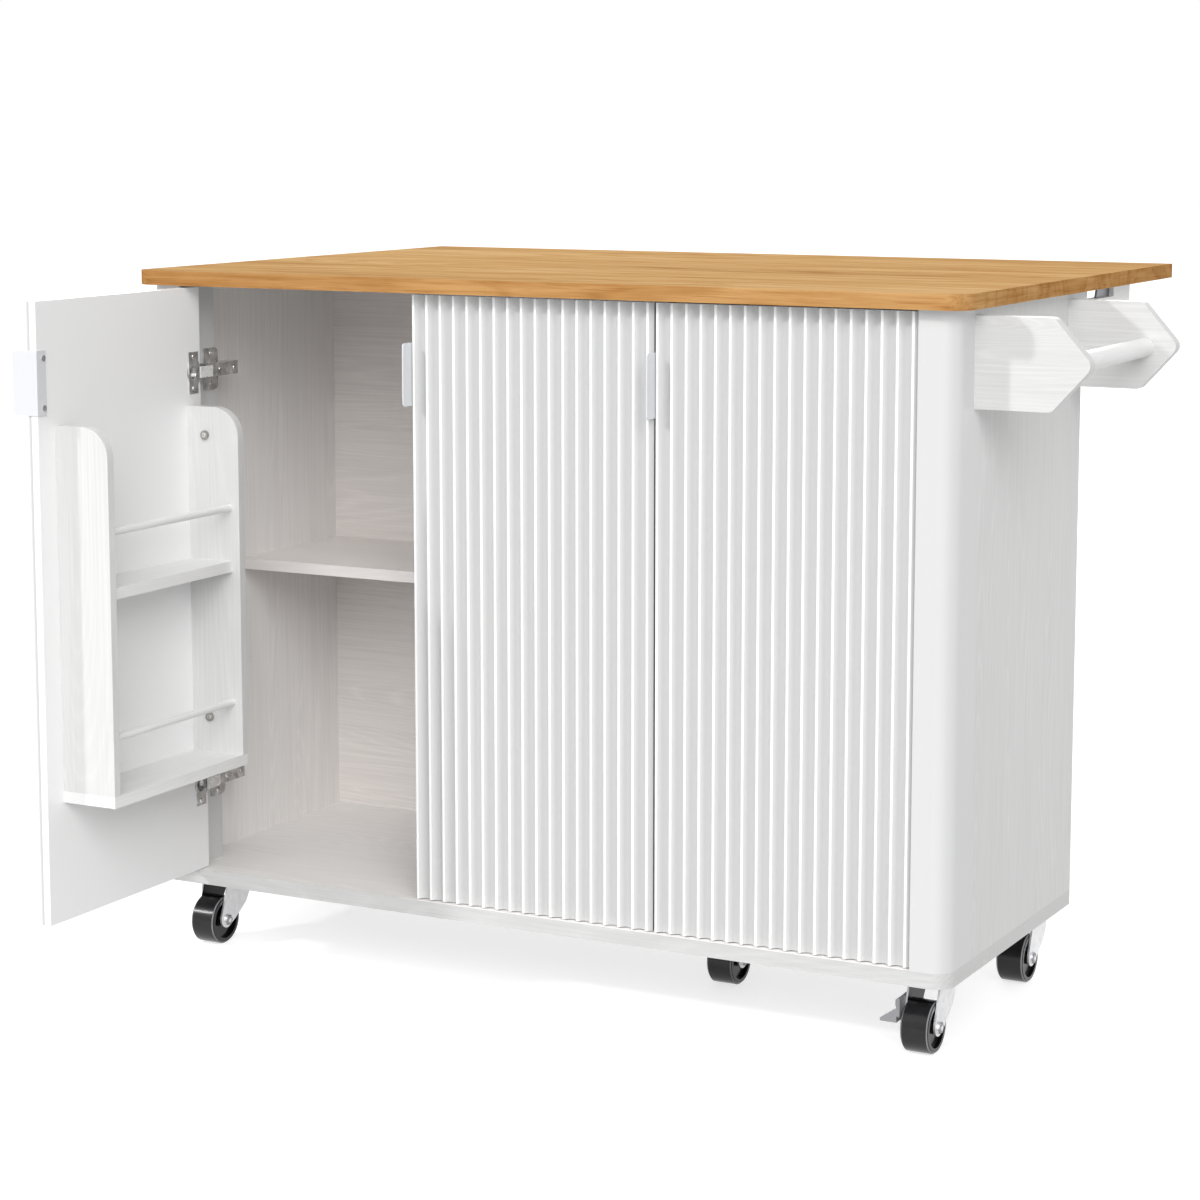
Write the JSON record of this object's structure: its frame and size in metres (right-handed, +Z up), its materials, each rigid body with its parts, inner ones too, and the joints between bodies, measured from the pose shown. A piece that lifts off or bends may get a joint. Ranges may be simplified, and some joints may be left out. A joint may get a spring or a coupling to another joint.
{
  "type": "kitchen island",
  "caption": "Kitchen island on casters with an oak worktop, a rear drop leaf, fluted cupboard doors, a door spice rack and a side towel rack.",
  "frame": {"origin": "centre of the bounding box at rest, on the floor plane under the wheels", "axes": "+Z up, -Y towards the doors, +X towards the towel rack"},
  "size_m": [1.2914, 1.1066, 0.92],
  "materials": {
    "oak": "matt lacquered honey oak",
    "white_board": "white board with a faint embossed grain",
    "door_white": "satin white",
    "white_paint": "satin white paint",
    "nickel": "nickel plated",
    "handle_metal": "satin silver white",
    "zinc_steel": "zinc plated",
    "dark_steel": "dark",
    "caster_black": "matt black",
    "brake_grey": "matt grey"
  },
  "bodies": {
    "cabinet": {"base_board": "white_board", "side_panel_left": "white_board", "side_panel_right": "white_board", "corner_post_left": "white_board", "corner_post_right": "white_board", "partition": "white_board", "back_panel": "white_board", "bay_shelf": "white_board", "rear_rail": "white_board", "worktop": "oak", "leaf_hinges_fixed": "zinc_steel", "arm_brackets": "zinc_steel", "towel_bracket_front": "white_paint", "towel_bracket_rear": "white_paint", "towel_bar": "white_paint", "hinge_plates": "nickel", "caster_plates": "zinc_steel"},
    "leaf": {"drop_leaf": "oak", "leaf_hinges_moving": "zinc_steel"},
    "arm_left": {"leaf_arm_left": "white_board", "arm_plate_left": "dark_steel"},
    "arm_right": {"leaf_arm_right": "white_board", "arm_plate_right": "dark_steel"},
    "left_door": {"door_left": "door_white", "handle_left": "handle_metal", "hinge_cups_left": "nickel", "door_screws_left": "nickel", "rack_side_near": "white_paint", "rack_side_far": "white_paint", "rack_shelf_upper": "white_paint", "rack_shelf_lower": "white_paint", "rack_rods": "white_paint", "rack_bolts": "nickel"},
    "middle_door": {"door_middle": "door_white", "handle_middle": "handle_metal", "hinge_cups_middle": "nickel", "door_screws_middle": "nickel"},
    "right_door": {"door_right": "door_white", "handle_right": "handle_metal", "hinge_cups_right": "nickel", "door_screws_right": "nickel"},
    "left_links": {"hinge_links_left": "nickel"},
    "middle_links": {"hinge_links_middle": "nickel"},
    "right_links": {"hinge_links_right": "nickel"},
    "swivel_front_left": {"fork_front_left": "zinc_steel"},
    "swivel_front_right": {"fork_front_right": "zinc_steel"},
    "swivel_rear_left": {"fork_rear_left": "zinc_steel"},
    "swivel_rear_right": {"fork_rear_right": "zinc_steel"},
    "swivel_middle": {"fork_middle": "zinc_steel"},
    "roller_front_left": {"wheel_front_left": "caster_black"},
    "roller_front_right": {"wheel_front_right": "caster_black"},
    "roller_rear_left": {"wheel_rear_left": "caster_black"},
    "roller_rear_right": {"wheel_rear_right": "caster_black"},
    "roller_middle": {"wheel_middle": "caster_black"},
    "brake": {"brake_pedal": "brake_grey"}
  },
  "joints": [
    {"name": "left_door_hinge", "type": "hinge", "parent": "cabinet", "child": "left_door", "pos_m": [-0.5735, -0.2178, 0.5], "axis": [0, 0, 1], "range_deg": [-5, 90]},
    {"name": "middle_door_hinge", "type": "hinge", "parent": "cabinet", "child": "middle_door", "pos_m": [0.1047, -0.2178, 0.5], "axis": [0, 0, 1], "range_deg": [0, 95]},
    {"name": "right_door_hinge", "type": "hinge", "parent": "cabinet", "child": "right_door", "pos_m": [0.4489, -0.2178, 0.5], "axis": [0, 0, 1], "range_deg": [0, 95]},
    {"name": "left_link_hinge", "type": "hinge", "parent": "cabinet", "child": "left_links", "pos_m": [-0.5653, -0.1898, 0.5], "axis": [0, 0, 1], "range_deg": [-3.3, 59.4]},
    {"name": "middle_link_hinge", "type": "hinge", "parent": "cabinet", "child": "middle_links", "pos_m": [0.0965, -0.1898, 0.5], "axis": [0, 0, 1], "range_deg": [0, 62.7]},
    {"name": "right_link_hinge", "type": "hinge", "parent": "cabinet", "child": "right_links", "pos_m": [0.4407, -0.1898, 0.5], "axis": [0, 0, 1], "range_deg": [0, 62.7]},
    {"name": "leaf_hinge", "type": "hinge", "parent": "cabinet", "child": "leaf", "pos_m": [-0.0623, 0.2745, 0.898], "axis": [-1, 0, 0], "range_deg": [0, 90]},
    {"name": "arm_left_hinge", "type": "hinge", "parent": "cabinet", "child": "arm_left", "pos_m": [-0.6164, 0.256, 0.88], "axis": [-1, 0, 0], "range_deg": [0, 90]},
    {"name": "arm_right_hinge", "type": "hinge", "parent": "cabinet", "child": "arm_right", "pos_m": [0.4918, 0.256, 0.88], "axis": [-1, 0, 0], "range_deg": [0, 90]},
    {"name": "swivel_front_left_turn", "type": "hinge", "parent": "cabinet", "child": "swivel_front_left", "pos_m": [-0.5802, -0.1498, 0.082], "axis": [0, 0, 1], "continuous": true},
    {"name": "swivel_front_right_turn", "type": "hinge", "parent": "cabinet", "child": "swivel_front_right", "pos_m": [0.4556, -0.1498, 0.082], "axis": [0, 0, 1], "continuous": true},
    {"name": "swivel_rear_left_turn", "type": "hinge", "parent": "cabinet", "child": "swivel_rear_left", "pos_m": [-0.5802, 0.185, 0.082], "axis": [0, 0, 1], "continuous": true},
    {"name": "swivel_rear_right_turn", "type": "hinge", "parent": "cabinet", "child": "swivel_rear_right", "pos_m": [0.4556, 0.185, 0.082], "axis": [0, 0, 1], "continuous": true},
    {"name": "swivel_middle_turn", "type": "hinge", "parent": "cabinet", "child": "swivel_middle", "pos_m": [0.1257, 0.002, 0.082], "axis": [0, 0, 1], "continuous": true},
    {"name": "wheel_front_left_spin", "type": "hinge", "parent": "swivel_front_left", "child": "roller_front_left", "pos_m": [-0.5802, -0.1758, 0.0325], "axis": [1, 0, 0], "continuous": true},
    {"name": "wheel_front_right_spin", "type": "hinge", "parent": "swivel_front_right", "child": "roller_front_right", "pos_m": [0.4556, -0.1758, 0.0325], "axis": [1, 0, 0], "continuous": true},
    {"name": "wheel_rear_left_spin", "type": "hinge", "parent": "swivel_rear_left", "child": "roller_rear_left", "pos_m": [-0.5802, 0.159, 0.0325], "axis": [1, 0, 0], "continuous": true},
    {"name": "wheel_rear_right_spin", "type": "hinge", "parent": "swivel_rear_right", "child": "roller_rear_right", "pos_m": [0.4556, 0.159, 0.0325], "axis": [1, 0, 0], "continuous": true},
    {"name": "wheel_middle_spin", "type": "hinge", "parent": "swivel_middle", "child": "roller_middle", "pos_m": [0.1257, -0.024, 0.0325], "axis": [1, 0, 0], "continuous": true},
    {"name": "brake_tilt", "type": "hinge", "parent": "swivel_front_right", "child": "brake", "pos_m": [0.4326, -0.1708, 0.062], "axis": [1, 0, 0], "range_deg": [0, 25]}
  ],
  "couplings": [
    {"joint": "left_link_hinge", "follows": "left_door_hinge", "ratio": 0.66},
    {"joint": "middle_link_hinge", "follows": "middle_door_hinge", "ratio": 0.66},
    {"joint": "right_link_hinge", "follows": "right_door_hinge", "ratio": 0.66},
    {"joint": "arm_left_hinge", "follows": "leaf_hinge", "ratio": 1},
    {"joint": "arm_right_hinge", "follows": "leaf_hinge", "ratio": 1}
  ]
}
